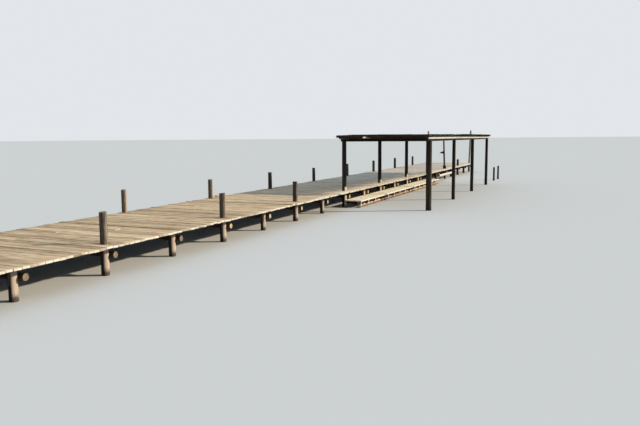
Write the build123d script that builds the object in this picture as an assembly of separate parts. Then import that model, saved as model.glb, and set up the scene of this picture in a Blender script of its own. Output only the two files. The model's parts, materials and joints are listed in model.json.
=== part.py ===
"""Wooden lake jetty with bollards, a roofed boat berth and a low landing stage.

X runs along the jetty from its shore end out over the lake, Y runs across it towards the
far side, and Z runs up from the water's level, where every pile ends. The origin is the
centre of the foot of the first pile on the near side.
"""

import math
import os

from build123d import *

# Bays and pile rows

bay = 3900
bay_count = 10
row_spacing = 2945
half_bay = bay / 2
bent_count = 2 * bay_count + 1

# Deck

deck_top = 575
deck_thickness = 36
deck_near_overhang = 335
deck_far_overhang = 115
deck_end_overhang = 200
deck_joint_gap = 8
notch_clearance = 10
cut_spare = 1

# Stringers

stringer_width = 70
stringer_depth = 115
stringer_line_count = 4
stringer_pile_gap = 14
stringer_joint_gap = 6
stringer_end_setback = 20

# Cap logs, bolted to the lake side of the piles

cap_radius = 60
cap_overhang = 160
cap_seat_depth = 8
cap_back_flat = 10
cap_housing_depth = 18
cap_sill_drop = 46
cap_housing_clearance = 3

# Piles: radii at the foot, how much they taper, and how far they vary

bollard_foot_radius = 78
bollard_height = 585
bollard_height_variation = 12
low_bollard_at = 9
low_bollard_height = 400
short_pile_radius = 73
pile_taper = 0.006
natural_variation = 4
sawn_slant = 7
near_sawn_turn = 137
far_sawn_turn = -60
top_chamfer = 9
log_sides = 12

# Shelter: first and last pile of its bays, and its rows of posts

shelter_first = 4
shelter_last = 7
outer_row_distance = 3000
inner_post_radius = 77
inner_post_variation = 2
outer_post_radius = 71
corner_post_radius = 87
beam_bottom = 2285
beam_width = 80
beam_depth = 90
beam_offset = 20
beam_overhang = 290
beam_end_cut = 60
tongue_drop = 4

# Roof

joist_radius = 25
joist_sides = 8
joist_count = 20
joist_end_setback = 50
joist_overhang = 90
covering_thickness = 80
covering_near_overhang = 500
covering_far_overhang = 700
covering_inner_overhang = 110
covering_board_gap = 2
edge_board_thickness = 25
edge_board_depth = 58
edge_board_top_gap = 10
edge_board_break = 3680
edge_board_gap = 12
edge_board_sag = 22
edge_board_sprung_length = 1300
edge_board_sprung_rise = 90
edge_board_sprung_steps = 5
edge_board_tip_depth = 30
knee_leg = 105
knee_thickness = 60
knee_gap = 0.3

# Landing stage, low over the water on the near side of the shelter bays

landing_top = 246
landing_thickness = 40
landing_near_end = -50
landing_far_end = -60
landing_outer_reach = 650
landing_inner_reach = 20
landing_joint_gap = 6
bearer_width = 60
bearer_depth = 80
bearer_housing_depth = 12
bearer_housing_clearance = 2
bearer_tail = 100
rail_width = 60
rail_depth = 70
rail_setback = 80
rail_pile_gap = 2
skirt_thickness = 30
skirt_bottom = 18
skirt_depth = 137
batten_width = 50
batten_thickness = 25
battens_per_bay = 5
batten_first = 80
landing_pile_radius = 60
landing_pile_battens = [3, 8]

# Poles, mooring piles and fender at the lake end

tall_pole_at = 8
tall_pole_radius = 56
tall_pole_top = 2220
tall_pole_lean = 2.3
tall_pole_setting = -31
pole_bracket_height = 937
pole_bracket_reach = 205
pole_bracket_width = 50
pole_bracket_depth = 156
pole_bracket_tip_depth = 28
foot_block_width = 150
foot_block_height = 190
foot_block_clearance = 3
end_pole_radius = 74
end_pole_top = 2810
end_pole_lean = 1.8
pole_taper = 0.004
mooring_pile_radius = 55
mooring_sawn_turn = 90
mooring_pile_places = [(14860, -2925, 730), (16150, -2965, 745)]
fender_first_bent = 15
fender_last_bent = 17
fender_first_overrun = 105
fender_last_overrun = 210
fender_thickness = 40
fender_depth = 110
fender_bottom = 235

# Two short timbers on the deck's far edge, beside a bollard

edge_timber_bollard = 3
edge_timber_lengths = [190, 130]
edge_timber_gap = 70
edge_timber_width = 70
edge_timber_height = 55

# Levels that follow from the sizes above

deck_bottom = deck_top - deck_thickness
stringer_bottom = deck_bottom - stringer_depth
cap_height = stringer_bottom - (cap_radius - cap_seat_depth)
beam_top = beam_bottom + beam_depth
joist_height = beam_top + joist_radius
covering_bottom = joist_height + joist_radius
landing_bottom = landing_top - landing_thickness
jetty_length = bay * bay_count
shelter_start = bay * shelter_first
shelter_end = bay * shelter_last
bollard_top = deck_top + bollard_height


def spread(index, amount):
    """A fixed, even scatter between -amount and +amount for the piece with this index."""
    golden = (math.sqrt(5) - 1) / 2
    return amount * (2 * ((index * golden) % 1) - 1)


def block(x_range, y_range, z_range):
    """A squared timber between two values along each axis."""
    size = [high - low for low, high in (x_range, y_range, z_range)]
    centre = [(high + low) / 2 for low, high in (x_range, y_range, z_range)]
    return Pos(*centre) * Box(*size)


def log_along(length, radius, sides):
    """A straight log on end, hewn to flats that lie at this radius, two of them across X."""
    outline = RegularPolygon(radius, sides, major_radius=False, rotation=180 / sides)
    return extrude(outline, length)


def gather(pieces):
    """The single solids of all the pieces as one compound."""
    return Compound(children=[solid for piece in pieces for solid in piece.solids()])


class Pile:
    """A tapered log, hewn to flats, that stands on the water's level and may lean a little."""

    def __init__(self, x, y, foot_radius, top, taper=pile_taper, lean=0.0, slant=0.0, turn=0.0):
        self.x = x
        self.y = y
        self.foot_radius = foot_radius
        self.top = top
        self.taper = taper
        self.lean = lean
        self.slant = slant
        self.turn = turn

    def radius_at(self, height):
        """The log's radius at a height."""
        return self.foot_radius - self.taper * height

    def y_at(self, height):
        """Where the log's axis is across the jetty; it stands at y on the deck's top."""
        return self.y + (height - deck_top) * math.tan(math.radians(self.lean))

    def log(self):
        """The log with its sawn top, whose rim is bevelled."""
        spare = 2 * self.foot_radius
        outline = RegularPolygon(
            self.radius_at(-spare), log_sides, major_radius=False, rotation=180 / log_sides,
        )
        angle = math.degrees(math.atan(self.taper))
        tapered = extrude(outline, self.top + 2 * spare, taper=angle)
        leaning = Pos(self.x, self.y_at(0), 0) * Rot(-self.lean, 0, 0) * Pos(0, 0, -spare) * tapered
        width = 6 * self.foot_radius
        saw = Pos(self.x, self.y_at(self.top), self.top) * Rot(0, 0, self.turn) * Rot(self.slant, 0, 0)
        above = saw * Box(width, width, width, align=(Align.CENTER, Align.CENTER, Align.MIN))
        foot = Pos(self.x, self.y_at(0), 0)
        below = foot * Box(width, width, width, align=(Align.CENTER, Align.CENTER, Align.MAX))
        log = leaning - above - below
        rim = log.faces().sort_by(Axis.Z)[-1].edges()
        return chamfer(rim, top_chamfer)

    def deck_notch(self):
        """The square hole that the deck's boards leave round the pile."""
        half = self.radius_at(deck_top) + notch_clearance
        shift = abs(self.y_at(deck_top) - self.y_at(deck_bottom))
        return block(
            (self.x - half, self.x + half),
            (self.y - half - shift, self.y + half + shift),
            (deck_bottom - cut_spare, deck_top + cut_spare),
        )

    def bearer_housing(self, side):
        """The notch that takes a landing bearer, on the lake side (1) or shore side (-1)."""
        back = self.radius_at(landing_bottom) - bearer_housing_depth
        reach = 2 * self.foot_radius
        edges = sorted((self.x + side * back, self.x + side * (back + reach)))
        return block(
            edges,
            (self.y - reach, self.y + reach),
            (landing_bottom - bearer_depth, landing_bottom + bearer_housing_clearance),
        )


# The piles that carry the deck, by row and bent; whole bays have an even bent number

def end_pole(y):
    """One of the two tall poles at the lake end, which lean a little to the near side."""
    return Pile(
        jetty_length, y, end_pole_radius, end_pole_top,
        taper=pole_taper, lean=-end_pole_lean, slant=sawn_slant,
    )


def near_pile(bent):
    """The pile on the near row at a bent, of the kind that stands there."""
    place = bent / 2
    x = bent * half_bay
    if bent % 2:
        return Pile(x, 0, short_pile_radius + spread(bent, natural_variation), deck_bottom)
    if shelter_first <= place <= shelter_last:
        top = beam_top - tongue_drop
        return Pile(x, 0, inner_post_radius + spread(bent, inner_post_variation), top, taper=pole_taper)
    if place == tall_pole_at:
        return Pile(
            x, tall_pole_setting, tall_pole_radius, tall_pole_top, taper=pole_taper, lean=tall_pole_lean,
        )
    if place == bay_count:
        return end_pole(0)
    top = bollard_top + spread(bent, bollard_height_variation)
    if place == low_bollard_at:
        top = deck_top + low_bollard_height
    return Pile(
        x, 0, bollard_foot_radius + spread(bent, natural_variation), top,
        slant=sawn_slant, turn=near_sawn_turn * bent,
    )


def far_pile(bent):
    """The pile on the far row at a bent: a bollard at whole bays but the last, else a short pile."""
    x = bent * half_bay
    varied = spread(bent + bent_count, natural_variation)
    if bent % 2:
        return Pile(x, row_spacing, short_pile_radius + varied, deck_bottom)
    if bent == 2 * bay_count:
        return end_pole(row_spacing)
    return Pile(
        x, row_spacing, bollard_foot_radius - natural_variation + varied,
        bollard_top + spread(bent + bent_count, bollard_height_variation),
        slant=sawn_slant + spread(bent, natural_variation), turn=far_sawn_turn,
    )


near_piles = [near_pile(bent) for bent in range(bent_count)]
far_piles = [far_pile(bent) for bent in range(bent_count)]


def cap_back(bent):
    """The plane of a cap log's hewn back, let into both of its piles."""
    thinner = min(pile.radius_at(cap_height) for pile in (near_piles[bent], far_piles[bent]))
    return bent * half_bay + thinner - cap_housing_depth


def cap_axis(bent):
    """The plane of a cap log's centre line."""
    return cap_back(bent) + cap_radius - cap_back_flat


def cap_housing(bent, pile):
    """The notch on a pile's lake side that takes the cap log."""
    reach = 2 * pile.foot_radius
    y = pile.y_at(cap_height)
    return block(
        (cap_back(bent), cap_back(bent) + reach),
        (y - reach, y + reach),
        (cap_height - cap_sill_drop, cap_height + cap_radius + cap_housing_clearance),
    )


# Deck

def deck_bay(number):
    """One bay of the deck, notched round the piles that stand up through it."""
    gap = deck_joint_gap / 2
    start = number * bay + gap if number else -deck_end_overhang
    end = (number + 1) * bay - gap if number < bay_count - 1 else jetty_length + deck_end_overhang
    slab = block(
        (start, end),
        (-deck_near_overhang, row_spacing + deck_far_overhang),
        (deck_bottom, deck_top),
    )
    for bent in (2 * number, 2 * number + 2):
        slab -= near_piles[bent].deck_notch()
        slab -= far_piles[bent].deck_notch()
    return slab


def stringer_lines():
    """The stringers' centre lines across the jetty, from the near side to the far side."""
    inset = bollard_foot_radius + natural_variation + stringer_pile_gap + stringer_width / 2
    step = (row_spacing - 2 * inset) / (stringer_line_count - 1)
    return [inset + step * line for line in range(stringer_line_count)]


def stringer_lengths(line_y):
    """One line of stringers, butted over the cap logs at the whole bays."""
    gap = stringer_joint_gap / 2
    joints = [cap_axis(2 * number) for number in range(1, bay_count)]
    starts = [-deck_end_overhang + stringer_end_setback] + [joint + gap for joint in joints]
    ends = [joint - gap for joint in joints] + [jetty_length + deck_end_overhang - stringer_end_setback]
    sides = (line_y - stringer_width / 2, line_y + stringer_width / 2)
    return [block((start, end), sides, (stringer_bottom, deck_bottom)) for start, end in zip(starts, ends)]


def cap_log(bent):
    """A cap log, hewn flat on its back at the two piles and on top under the stringers."""
    x = cap_axis(bent)
    back = cap_back(bent)
    near_end = -cap_overhang
    far_end = row_spacing + cap_overhang
    log = log_along(far_end - near_end, cap_radius, log_sides)
    log = Pos(x, near_end, cap_height) * Rot(-90, 0, 0) * log
    for pile in (near_piles[bent], far_piles[bent]):
        reach = pile.radius_at(cap_height) + cap_housing_clearance
        y = pile.y_at(cap_height)
        sides = (y - reach, y + reach)
        start = x - 2 * cap_radius
        sill = cap_height - cap_sill_drop
        log -= block((start, back), sides, (cap_height - cap_radius, cap_height + cap_radius))
        log -= block((start, pile.x + reach), sides, (cap_height - 2 * cap_radius, sill))
    for line_y in stringer_lines():
        reach = stringer_width / 2 + cap_housing_clearance
        log -= block(
            (x - 2 * cap_radius, x + 2 * cap_radius),
            (line_y - reach, line_y + reach),
            (stringer_bottom, stringer_bottom + cap_radius),
        )
    return log


# Shelter posts, with a seat for the beams and a tongue that stands up beside them

inner_beam_sides = (-beam_offset - beam_width / 2, beam_width / 2 - beam_offset)
outer_beam_sides = (-outer_row_distance - inner_beam_sides[1], -outer_row_distance - inner_beam_sides[0])


def beam_seat(pile, sides, outward):
    """The cut that leaves the post's tongue on its outward side of the beams."""
    reach = 4 * pile.foot_radius
    if outward > 0:
        width = (sides[0] - reach, sides[1])
    else:
        width = (sides[0], sides[1] + reach)
    return block((pile.x - reach, pile.x + reach), width, (beam_bottom, pile.top + reach))


def outer_post(place):
    """A post of the outer row, which stands in open water."""
    radius = outer_post_radius + spread(place, natural_variation)
    if place == shelter_first:
        radius = corner_post_radius
    return Pile(place * bay, -outer_row_distance, radius, beam_top - tongue_drop, taper=pole_taper)


shelter_places = list(range(shelter_first, shelter_last + 1))
inner_posts = [near_piles[2 * place] for place in shelter_places]
outer_posts = [outer_post(place) for place in shelter_places]


def cross_beam(place):
    """A beam across the berth, halved over both long beams at a pair of posts."""
    x = place * bay
    half = beam_width / 2
    outer_end = outer_beam_sides[0]
    inner_end = inner_beam_sides[1]
    beam = block((x - half, x + half), (outer_end, inner_end), (beam_bottom, beam_top))
    for sides in (inner_beam_sides, outer_beam_sides):
        beam -= block((x - half, x + half), sides, (beam_bottom, beam_bottom + beam_depth / 2))
    return beam


def long_beam(sides):
    """A beam along a row of posts, halved under the cross beams, its ends cut on a slant."""
    start = shelter_start - beam_overhang
    end = shelter_end + beam_overhang
    side_view = Plane.XZ.offset(-sides[0]) * Polygon(
        (start, beam_bottom + beam_end_cut),
        (start + beam_end_cut, beam_bottom),
        (end - beam_end_cut, beam_bottom),
        (end, beam_bottom + beam_end_cut),
        (end, beam_top),
        (start, beam_top),
        align=None,
    )
    beam = extrude(side_view, -(sides[1] - sides[0]))
    half = beam_width / 2
    for place in shelter_places:
        x = place * bay
        beam -= block((x - half, x + half), sides, (beam_bottom + beam_depth / 2, beam_top))
    return beam


def knee(post):
    """A short corner piece under the outer beam on the lake side of a post."""
    x = post.x + post.radius_at(beam_bottom - knee_leg) + knee_gap
    middle = sum(outer_beam_sides) / 2
    side_view = Plane.XZ.offset(-(middle - knee_thickness / 2)) * Polygon(
        (x, beam_bottom),
        (x, beam_bottom - knee_leg),
        (x + knee_leg, beam_bottom),
        align=None,
    )
    return extrude(side_view, -knee_thickness)


# Roof

joist_outer_end = -outer_row_distance - joist_overhang
joist_inner_end = joist_overhang
covering_outer_edge = joist_outer_end + covering_board_gap
covering_start = shelter_start - covering_near_overhang
covering_end = shelter_end + covering_far_overhang


def joist(number):
    """A pole across the beams, hewn to flats on which it lies and carries the covering."""
    first = shelter_start - beam_overhang + joist_end_setback
    last = shelter_end + beam_overhang - joist_end_setback
    x = first + (last - first) * number / (joist_count - 1)
    length = joist_inner_end - joist_outer_end
    pole = log_along(length, joist_radius, joist_sides)
    return Pos(x, joist_outer_end, joist_height) * Rot(-90, 0, 0) * pole


def roof_covering():
    """The thin covering over the whole berth."""
    return block(
        (covering_start, covering_end),
        (covering_outer_edge, covering_inner_overhang),
        (covering_bottom, covering_bottom + covering_thickness),
    )


def edge_boards():
    """Two thin boards nailed to the joists' outer ends; the last sags and springs up at its tip."""
    top = covering_bottom - edge_board_top_gap
    bottom = top - edge_board_depth
    back = joist_outer_end
    front = back - edge_board_thickness
    break_x = shelter_start + edge_board_break
    first = block((covering_start, break_x - edge_board_gap), (front, back), (bottom, top))
    bend = covering_end - edge_board_sprung_length
    shares = [step / edge_board_sprung_steps for step in range(edge_board_sprung_steps + 1)]
    under_rise = edge_board_sprung_rise + edge_board_depth - edge_board_tip_depth
    sagged = bottom - edge_board_sag
    under = [
        (bend + share * edge_board_sprung_length, sagged + share ** 2 * under_rise)
        for share in shares
    ]
    sagged = top - edge_board_sag
    over = [
        (bend + share * edge_board_sprung_length, sagged + share ** 2 * edge_board_sprung_rise)
        for share in reversed(shares)
    ]
    outline = Polygon((break_x, bottom), *under, *over, (break_x, top), align=None)
    return [first, extrude(Plane.XZ.offset(-front) * outline, -edge_board_thickness)]


# Landing stage

landing_start = shelter_start + landing_near_end
landing_end = shelter_end + landing_far_end
rail_front = -(landing_outer_reach - rail_setback)
rail_back = rail_front + rail_width
skirt_front = rail_front - skirt_thickness
bearer_bents = list(range(2 * shelter_first, 2 * shelter_last + 1))
batten_pitch = bay / battens_per_bay


def bearer_side(bent):
    """Bearers lie on the lake side of the piles, but for the last, which is inside."""
    return -1 if bent == bearer_bents[-1] else 1


def batten_place(number):
    """Where a batten stands, counted along the landing's front from its shore end."""
    return landing_start + batten_first + batten_pitch * number


def landing_pile(number):
    """A short pile in line with the landing's rail, in a batten's place."""
    return Pile(batten_place(number), (rail_front + rail_back) / 2, landing_pile_radius, landing_bottom)


landing_piles = [landing_pile(number) for number in landing_pile_battens]


def landing_deck():
    """The landing's planking, a length for each bay, notched round the near piles."""
    gap = landing_joint_gap / 2
    lengths = []
    for place in range(shelter_first, shelter_last):
        start = landing_start if place == shelter_first else place * bay + gap
        end = landing_end if place == shelter_last - 1 else (place + 1) * bay - gap
        slab = block(
            (start, end),
            (-landing_outer_reach, landing_inner_reach),
            (landing_bottom, landing_top),
        )
        for bent in range(2 * place, 2 * place + 3):
            pile = near_piles[bent]
            half = pile.radius_at(landing_bottom) + notch_clearance
            slab -= block(
                (pile.x - half, pile.x + half),
                (-half, half),
                (landing_bottom - cut_spare, landing_top + cut_spare),
            )
        lengths.append(slab)
    return lengths


def landing_bearer(bent):
    """A bearer from the rail's back to just past the near pile that holds it."""
    pile = near_piles[bent]
    side = bearer_side(bent)
    inner = pile.x + side * (pile.radius_at(landing_bottom) - bearer_housing_depth)
    edges = sorted((inner, inner + side * bearer_width))
    return block(edges, (rail_back, bearer_tail), (landing_bottom - bearer_depth, landing_bottom))


def stretches_between_landing_piles():
    """The stretches of the landing's front that its piles leave free."""
    starts = [landing_start]
    ends = []
    for pile in landing_piles:
        reach = pile.foot_radius + rail_pile_gap
        ends.append(pile.x - reach)
        starts.append(pile.x + reach)
    ends.append(landing_end)
    return list(zip(starts, ends))


def batten_places():
    """Where battens stand along the whole front, but for the places that piles take."""
    count = int((landing_end - landing_start - batten_first) // batten_pitch) + 1
    return [batten_place(number) for number in range(count) if number not in landing_pile_battens]


def landing_batten(x):
    """An upright batten nailed to the front of the skirt, up to the landing's deck."""
    return block(
        (x - batten_width / 2, x + batten_width / 2),
        (skirt_front - batten_thickness, skirt_front),
        (skirt_bottom, landing_bottom),
    )


# Lake end: pole fittings, fender and mooring piles

tall_pole = near_piles[2 * tall_pole_at]


def pole_bracket_back():
    """The height of the arm's middle and the plane of its back, inside the leaning pole."""
    height = deck_top + pole_bracket_height
    return height, tall_pole.y_at(height) + tall_pole.radius_at(height) - bearer_housing_depth


def pole_bracket():
    """A small wooden arm let into the far side of the leaning pole, deep at its back."""
    height, back = pole_bracket_back()
    tip = back + pole_bracket_reach
    end_view = Plane.YZ.offset(tall_pole.x - pole_bracket_width / 2) * Polygon(
        (back, height - pole_bracket_depth / 2),
        (tip, height - pole_bracket_tip_depth),
        (tip, height),
        (back, height + pole_bracket_depth / 2),
        align=None,
    )
    return extrude(end_view, pole_bracket_width)


def pole_bracket_housing():
    """The notch in the leaning pole that the arm sits in."""
    height, back = pole_bracket_back()
    return block(
        (tall_pole.x - pole_bracket_width / 2, tall_pole.x + pole_bracket_width / 2),
        (back, back + pole_bracket_reach),
        (height - pole_bracket_depth / 2, height + pole_bracket_depth / 2),
    )


def foot_block():
    """A square timber collar that lies on the deck round the leaning pole."""
    half = foot_block_width / 2
    collar = block(
        (tall_pole.x - half, tall_pole.x + half),
        (tall_pole.y - half, tall_pole.y + half),
        (deck_top, deck_top + foot_block_height),
    )
    wider = Pile(
        tall_pole.x, tall_pole.y, tall_pole.foot_radius + foot_block_clearance, tall_pole.top,
        taper=pole_taper, lean=tall_pole_lean,
    )
    return collar - wider.log()


def fender_plank():
    """A pale rubbing plank nailed across the near ends of the cap logs."""
    start = fender_first_bent * half_bay + fender_first_overrun
    end = fender_last_bent * half_bay + fender_last_overrun
    return block(
        (start, end),
        (-cap_overhang - fender_thickness, -cap_overhang),
        (fender_bottom, fender_bottom + fender_depth),
    )


def edge_timbers():
    """Short timbers that lie on the deck's far edge on the lake side of a bollard."""
    bollard = far_piles[2 * edge_timber_bollard]
    start = bollard.x + bollard.radius_at(deck_top) + edge_timber_gap
    edge = row_spacing + deck_far_overhang
    timbers = []
    for length in edge_timber_lengths:
        timbers.append(
            block(
                (start, start + length),
                (edge - edge_timber_width, edge),
                (deck_top, deck_top + edge_timber_height),
            )
        )
        start += length + edge_timber_gap
    return timbers


def mooring_pile(place):
    """A free pile in open water beside the lake end."""
    x, y, top = place
    return Pile(shelter_start + x, y, mooring_pile_radius, top, slant=sawn_slant, turn=mooring_sawn_turn)


# Every named piece with its solids

def deck_piles(piles, bents):
    """The logs at some bents, with the housing for the cap log and any landing bearer."""
    logs = []
    for bent in bents:
        pile = piles[bent]
        log = pile.log() - cap_housing(bent, pile)
        if piles is near_piles and bent in bearer_bents:
            log -= pile.bearer_housing(bearer_side(bent))
        logs.append(log)
    return logs


shelter_bents = range(2 * shelter_first, 2 * shelter_last + 1)
end_bent = 2 * bay_count
tall_bents = [2 * tall_pole_at, end_bent]
near_bollard_bents = [
    bent for bent in range(0, bent_count, 2) if bent not in shelter_bents and bent not in tall_bents
]

nodes = {}
for number in range(bay_count):
    nodes[f"deck_bay_{number + 1:02d}"] = [deck_bay(number)]

lines = stringer_lines()
nodes["near_stringers"] = stringer_lengths(lines[0])
nodes["inner_stringers"] = [piece for line_y in lines[1:-1] for piece in stringer_lengths(line_y)]
nodes["far_stringers"] = stringer_lengths(lines[-1])

nodes["approach_cap_logs"] = [cap_log(bent) for bent in range(shelter_bents[0])]
nodes["shelter_cap_logs"] = [cap_log(bent) for bent in shelter_bents]
nodes["end_cap_logs"] = [cap_log(bent) for bent in range(shelter_bents[-1] + 1, bent_count)]

nodes["near_bollard_piles"] = deck_piles(near_piles, near_bollard_bents)
nodes["near_short_piles"] = deck_piles(near_piles, range(1, bent_count, 2))
nodes["far_bollard_piles"] = deck_piles(far_piles, range(0, end_bent, 2))
nodes["far_short_piles"] = deck_piles(far_piles, range(1, bent_count, 2))

nodes["inner_shelter_posts"] = [
    log - beam_seat(post, inner_beam_sides, 1)
    for log, post in zip(deck_piles(near_piles, shelter_bents[::2]), inner_posts)
]
nodes["outer_shelter_posts"] = [
    post.log() - beam_seat(post, outer_beam_sides, -1) for post in outer_posts
]
nodes["inner_roof_beam"] = [long_beam(inner_beam_sides)]
nodes["outer_roof_beam"] = [long_beam(outer_beam_sides)]
nodes["roof_cross_beams"] = [cross_beam(place) for place in shelter_places]
nodes["post_knees"] = [knee(post) for post in outer_posts]
nodes["roof_joists"] = [joist(number) for number in range(joist_count)]
nodes["roof_covering"] = [roof_covering()]
nodes["roof_edge_boards"] = edge_boards()

nodes["landing_deck"] = landing_deck()
nodes["landing_bearers"] = [landing_bearer(bent) for bent in bearer_bents]
nodes["landing_rail"] = [
    block(ends, (rail_front, rail_back), (landing_bottom - rail_depth, landing_bottom))
    for ends in stretches_between_landing_piles()
]
nodes["landing_skirt"] = [
    block(ends, (skirt_front, rail_front), (skirt_bottom, skirt_bottom + skirt_depth))
    for ends in stretches_between_landing_piles()
]
nodes["landing_battens"] = [landing_batten(x) for x in batten_places()]
nodes["landing_piles"] = [pile.log() for pile in landing_piles]

nodes["tall_pole"] = [log - pole_bracket_housing() for log in deck_piles(near_piles, tall_bents[:1])]
nodes["pole_bracket"] = [pole_bracket()]
nodes["pole_foot_block"] = [foot_block()]
nodes["end_poles"] = deck_piles(near_piles, [end_bent]) + deck_piles(far_piles, [end_bent])
nodes["fender_plank"] = [fender_plank()]
nodes["edge_timbers"] = edge_timbers()
nodes["mooring_piles"] = [mooring_pile(place).log() for place in mooring_pile_places]

os.makedirs("parts", exist_ok=True)
for name, pieces in nodes.items():
    export_step(gather(pieces), f"parts/{name}.step")
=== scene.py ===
"""Dresses the wooden jetty: its boards, logs, reeds, nails and bolts, and their weathered finishes.

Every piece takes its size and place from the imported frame, in metres: X runs along the jetty, Y
across it to the far side, and Z up from the level where the piles end.
"""

import json
import logging
import math
import random
from collections.abc import Callable
from dataclasses import dataclass, field
from enum import Enum
from functools import partial

import bmesh
import bpy
from mathutils import Matrix, Vector, noise


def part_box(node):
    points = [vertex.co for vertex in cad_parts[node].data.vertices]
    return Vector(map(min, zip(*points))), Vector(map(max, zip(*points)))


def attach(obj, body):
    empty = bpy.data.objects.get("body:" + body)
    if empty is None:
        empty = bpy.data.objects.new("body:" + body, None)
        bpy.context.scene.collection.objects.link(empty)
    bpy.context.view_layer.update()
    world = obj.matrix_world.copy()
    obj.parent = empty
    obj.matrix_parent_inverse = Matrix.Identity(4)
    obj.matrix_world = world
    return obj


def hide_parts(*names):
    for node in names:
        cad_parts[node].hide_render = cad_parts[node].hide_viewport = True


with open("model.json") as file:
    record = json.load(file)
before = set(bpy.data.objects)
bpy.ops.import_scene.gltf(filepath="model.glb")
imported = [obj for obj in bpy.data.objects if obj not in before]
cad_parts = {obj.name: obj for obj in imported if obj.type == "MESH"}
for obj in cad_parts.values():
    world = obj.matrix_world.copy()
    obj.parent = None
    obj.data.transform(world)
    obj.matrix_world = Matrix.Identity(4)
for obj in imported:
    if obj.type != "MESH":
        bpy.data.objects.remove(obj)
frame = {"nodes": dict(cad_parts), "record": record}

Shape = bmesh.types.BMesh
Edges = list[bmesh.types.BMEdge]
Materials = list[bpy.types.Material]
Box = tuple[Vector, Vector]
Foot = tuple[Vector, float]
Pair = tuple[float, float]
Triple = tuple[float, float, float]
Inputs = dict[str | int, object]

BODY = "root"
# Without a seed, Blender's noise vectors take their offsets from the clock
NOISE_SEED = 7
LOG = logging.getLogger("jetty")

# The sides that finishes paint pale: towards the sun, or up for boards and reeds; painted sunlight,
# partly also sun bleaching
SUNNY_SIDE = (0.45, -0.9, 0.05)
UPWARDS = (0.2, -0.3, 0.9)
ROUNDED_OVER = math.radians(30)
RIM_OVER = 1.0
SHADED_FLAT_OVER = math.radians(38)
END_FACING = 0.85
SAWN_FACING = 0.8
SAWN_DEPTH = 0.06
HALF_BLUR = 0.03
NAIL_SHARES = (0.25, 0.75)
NAIL_SUNK = 0.001


def display(shade: str) -> Triple:
    """A colour as a display shows it, by its six-figure code, in a shader's linear values."""
    return tuple(((part / 255 + 0.055) / 1.055) ** 2.4 for part in bytes.fromhex(shade))


class Axis(Enum):
    """An axis of the frame, along which a timber's grain may run."""

    X = 0
    Y = 1
    Z = 2

    @property
    def unit(self) -> Vector:
        """The axis as a vector of length one."""
        return Vector([float(part == self.value) for part in range(3)])

    @property
    def to_grain(self) -> Matrix:
        """The turn that brings this axis to Z, along which every finish draws its grain."""
        rows = [(self.value + step) % 3 for step in (1, 2, 0)]
        return Matrix([[float(part == row) for part in range(3)] for row in rows]).to_4x4()


class Paint(Enum):
    """Which of a piece's two finishes a face has."""

    SIDE = 0
    END = 1


# Finishes

@dataclass(frozen=True)
class Value:
    """What a shader node gives out, to which numbers and other values can be joined."""

    graph: "Graph"
    socket: bpy.types.NodeSocket

    def __add__(self, other: "Value | float") -> "Value":
        """The sum of two numbers."""
        return self.graph.math("ADD", self, other)

    def __sub__(self, other: "Value | float") -> "Value":
        """The difference of two numbers."""
        return self.graph.math("SUBTRACT", self, other)

    def __mul__(self, other: "Value | float") -> "Value":
        """The product of two numbers."""
        return self.graph.math("MULTIPLY", self, other)

    def highest(self, other: "Value | float") -> "Value":
        """The higher one of two numbers."""
        return self.graph.math("MAXIMUM", self, other)

    def part(self, name: str) -> "Value":
        """The X, Y or Z of a vector."""
        return self.graph.add("SeparateXYZ", name, {0: self})


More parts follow.
